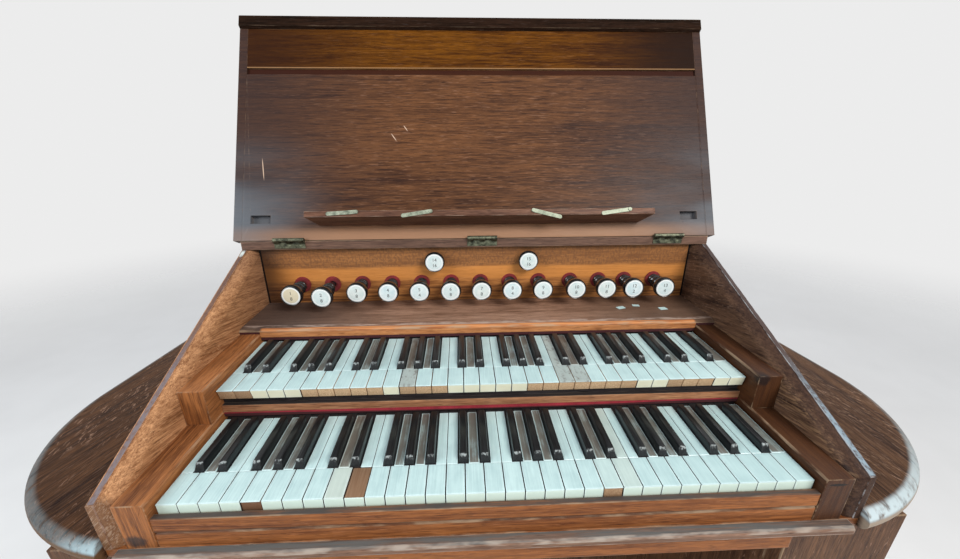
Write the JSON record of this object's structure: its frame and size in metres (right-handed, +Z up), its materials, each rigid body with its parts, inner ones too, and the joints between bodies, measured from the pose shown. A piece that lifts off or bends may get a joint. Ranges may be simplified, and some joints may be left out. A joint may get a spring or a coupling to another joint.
{
  "type": "pipe organ console",
  "caption": "Oak pipe organ console: two keyboards between sloping cheeks, drawstops, rounded side shelves and a lid that opens into a music desk.",
  "frame": {"origin": "middle of the console's box, on the floor", "axes": "+X to the player's right, +Y from the player to the back, +Z up"},
  "size_m": [1.37, 0.669, 1.5032],
  "materials": {
    "case_oak": "waxed quarter-sawn oak, worn",
    "dark_oak": "dark stained oak, rubbed pale at the edges",
    "shelf_oak": "waxed quarter-sawn oak with pale ray flecks and a worn pale nose",
    "jamb_oak": "orange varnished oak",
    "lid_oak": "dark red-brown oak, scratched, with a grey sheen",
    "lid_upper_oak": "lighter orange-brown oak",
    "ivory": "worn ivory plates, some lost",
    "ebony": "polished black wood",
    "key_wood": "plain pale wood",
    "red_felt": "red felt",
    "aged_brass": "tarnished greenish brass",
    "nickel": "dull pale plated metal"
  },
  "bodies": {
    "console": {"left_cheek": "case_oak", "right_cheek": "case_oak", "left_shelf": "shelf_oak", "right_shelf": "shelf_oak", "deck": "dark_oak", "key_slip": "dark_oak", "front_moulding": "dark_oak", "apron_rail": "dark_oak", "lower_key_blocks": "dark_oak", "upper_key_blocks": "dark_oak", "lower_key_frame": "key_wood", "upper_key_frame": "key_wood", "lower_naturals": "ivory", "lower_sharps": "ebony", "upper_naturals": "ivory", "upper_sharps": "ebony", "manual_rail": "dark_oak", "manual_felt": "red_felt", "stop_shelf": "dark_oak", "stop_rail": "jamb_oak", "stop_felt": "red_felt", "stop_jamb": "jamb_oak", "felt_rings": "red_felt", "hinge_rail": "dark_oak", "top_board": "case_oak", "upper_back": "case_oak", "lower_back": "case_oak", "left_side": "case_oak", "right_side": "case_oak", "pedestal_fronts": "case_oak", "knee_sides": "case_oak", "knee_panel": "case_oak", "skirting": "dark_oak", "rail_hinges": "aged_brass"},
    "lid": {"lid_hinges": "aged_brass", "lid_panel": "lid_oak", "lid_upper_board": "lid_upper_oak", "lid_clamps": "lid_oak", "lid_lip": "lid_oak", "music_ledge": "lid_oak", "clip_screws": "nickel"},
    "page_clip_1": {"page_clip_1": "nickel"},
    "page_clip_2": {"page_clip_2": "nickel"},
    "page_clip_3": {"page_clip_3": "nickel"},
    "page_clip_4": {"page_clip_4": "nickel"},
    "drawstop_01": {"drawstop_01": "ebony"},
    "drawstop_02": {"drawstop_02": "ebony"},
    "drawstop_03": {"drawstop_03": "ebony"},
    "drawstop_04": {"drawstop_04": "ebony"},
    "drawstop_05": {"drawstop_05": "ebony"},
    "drawstop_06": {"drawstop_06": "ebony"},
    "drawstop_07": {"drawstop_07": "ebony"},
    "drawstop_08": {"drawstop_08": "ebony"},
    "drawstop_09": {"drawstop_09": "ebony"},
    "drawstop_10": {"drawstop_10": "ebony"},
    "drawstop_11": {"drawstop_11": "ebony"},
    "drawstop_12": {"drawstop_12": "ebony"},
    "drawstop_13": {"drawstop_13": "ebony"},
    "drawstop_14": {"drawstop_14": "ebony"},
    "drawstop_15": {"drawstop_15": "ebony"}
  },
  "joints": [
    {"name": "lid_hinge", "type": "hinge", "parent": "console", "child": "lid", "pos_m": [0, 0.08557, 1.09845], "axis": [-1, 0, 0], "range_deg": [-140.4, 0]},
    {"name": "clip_pivot_1", "type": "hinge", "parent": "lid", "child": "page_clip_1", "pos_m": [-0.2224, 0.06493, 1.15333], "axis": [0, 0.9011, -0.4337], "range_deg": [0, 93.5]},
    {"name": "clip_pivot_2", "type": "hinge", "parent": "lid", "child": "page_clip_2", "pos_m": [-0.0895, 0.06493, 1.15333], "axis": [0, 0.9011, -0.4337], "range_deg": [0, 98.7]},
    {"name": "clip_pivot_3", "type": "hinge", "parent": "lid", "child": "page_clip_3", "pos_m": [0.0971, 0.06493, 1.15333], "axis": [0, -0.9011, 0.4337], "range_deg": [0, 104.6]},
    {"name": "clip_pivot_4", "type": "hinge", "parent": "lid", "child": "page_clip_4", "pos_m": [0.2756, 0.06493, 1.15333], "axis": [0, 0.9011, -0.4337], "range_deg": [0, 97.7]},
    {"name": "stop_slide_01", "type": "slide", "parent": "console", "child": "drawstop_01", "axis": [0, -1, 0], "range_m": [-0.008, 0.027]},
    {"name": "stop_slide_02", "type": "slide", "parent": "console", "child": "drawstop_02", "axis": [0, -1, 0], "range_m": [-0.02, 0.015]},
    {"name": "stop_slide_03", "type": "slide", "parent": "console", "child": "drawstop_03", "axis": [0, -1, 0], "range_m": [0, 0.035]},
    {"name": "stop_slide_04", "type": "slide", "parent": "console", "child": "drawstop_04", "axis": [0, -1, 0], "range_m": [0, 0.035]},
    {"name": "stop_slide_05", "type": "slide", "parent": "console", "child": "drawstop_05", "axis": [0, -1, 0], "range_m": [0, 0.035]},
    {"name": "stop_slide_06", "type": "slide", "parent": "console", "child": "drawstop_06", "axis": [0, -1, 0], "range_m": [0, 0.035]},
    {"name": "stop_slide_07", "type": "slide", "parent": "console", "child": "drawstop_07", "axis": [0, -1, 0], "range_m": [0, 0.035]},
    {"name": "stop_slide_08", "type": "slide", "parent": "console", "child": "drawstop_08", "axis": [0, -1, 0], "range_m": [0, 0.035]},
    {"name": "stop_slide_09", "type": "slide", "parent": "console", "child": "drawstop_09", "axis": [0, -1, 0], "range_m": [0, 0.035]},
    {"name": "stop_slide_10", "type": "slide", "parent": "console", "child": "drawstop_10", "axis": [0, -1, 0], "range_m": [0, 0.035]},
    {"name": "stop_slide_11", "type": "slide", "parent": "console", "child": "drawstop_11", "axis": [0, -1, 0], "range_m": [0, 0.035]},
    {"name": "stop_slide_12", "type": "slide", "parent": "console", "child": "drawstop_12", "axis": [0, -1, 0], "range_m": [0, 0.035]},
    {"name": "stop_slide_13", "type": "slide", "parent": "console", "child": "drawstop_13", "axis": [0, -1, 0], "range_m": [0, 0.035]},
    {"name": "stop_slide_14", "type": "slide", "parent": "console", "child": "drawstop_14", "axis": [0, -1, 0], "range_m": [0, 0.035]},
    {"name": "stop_slide_15", "type": "slide", "parent": "console", "child": "drawstop_15", "axis": [0, -1, 0], "range_m": [0, 0.035]}
  ]
}
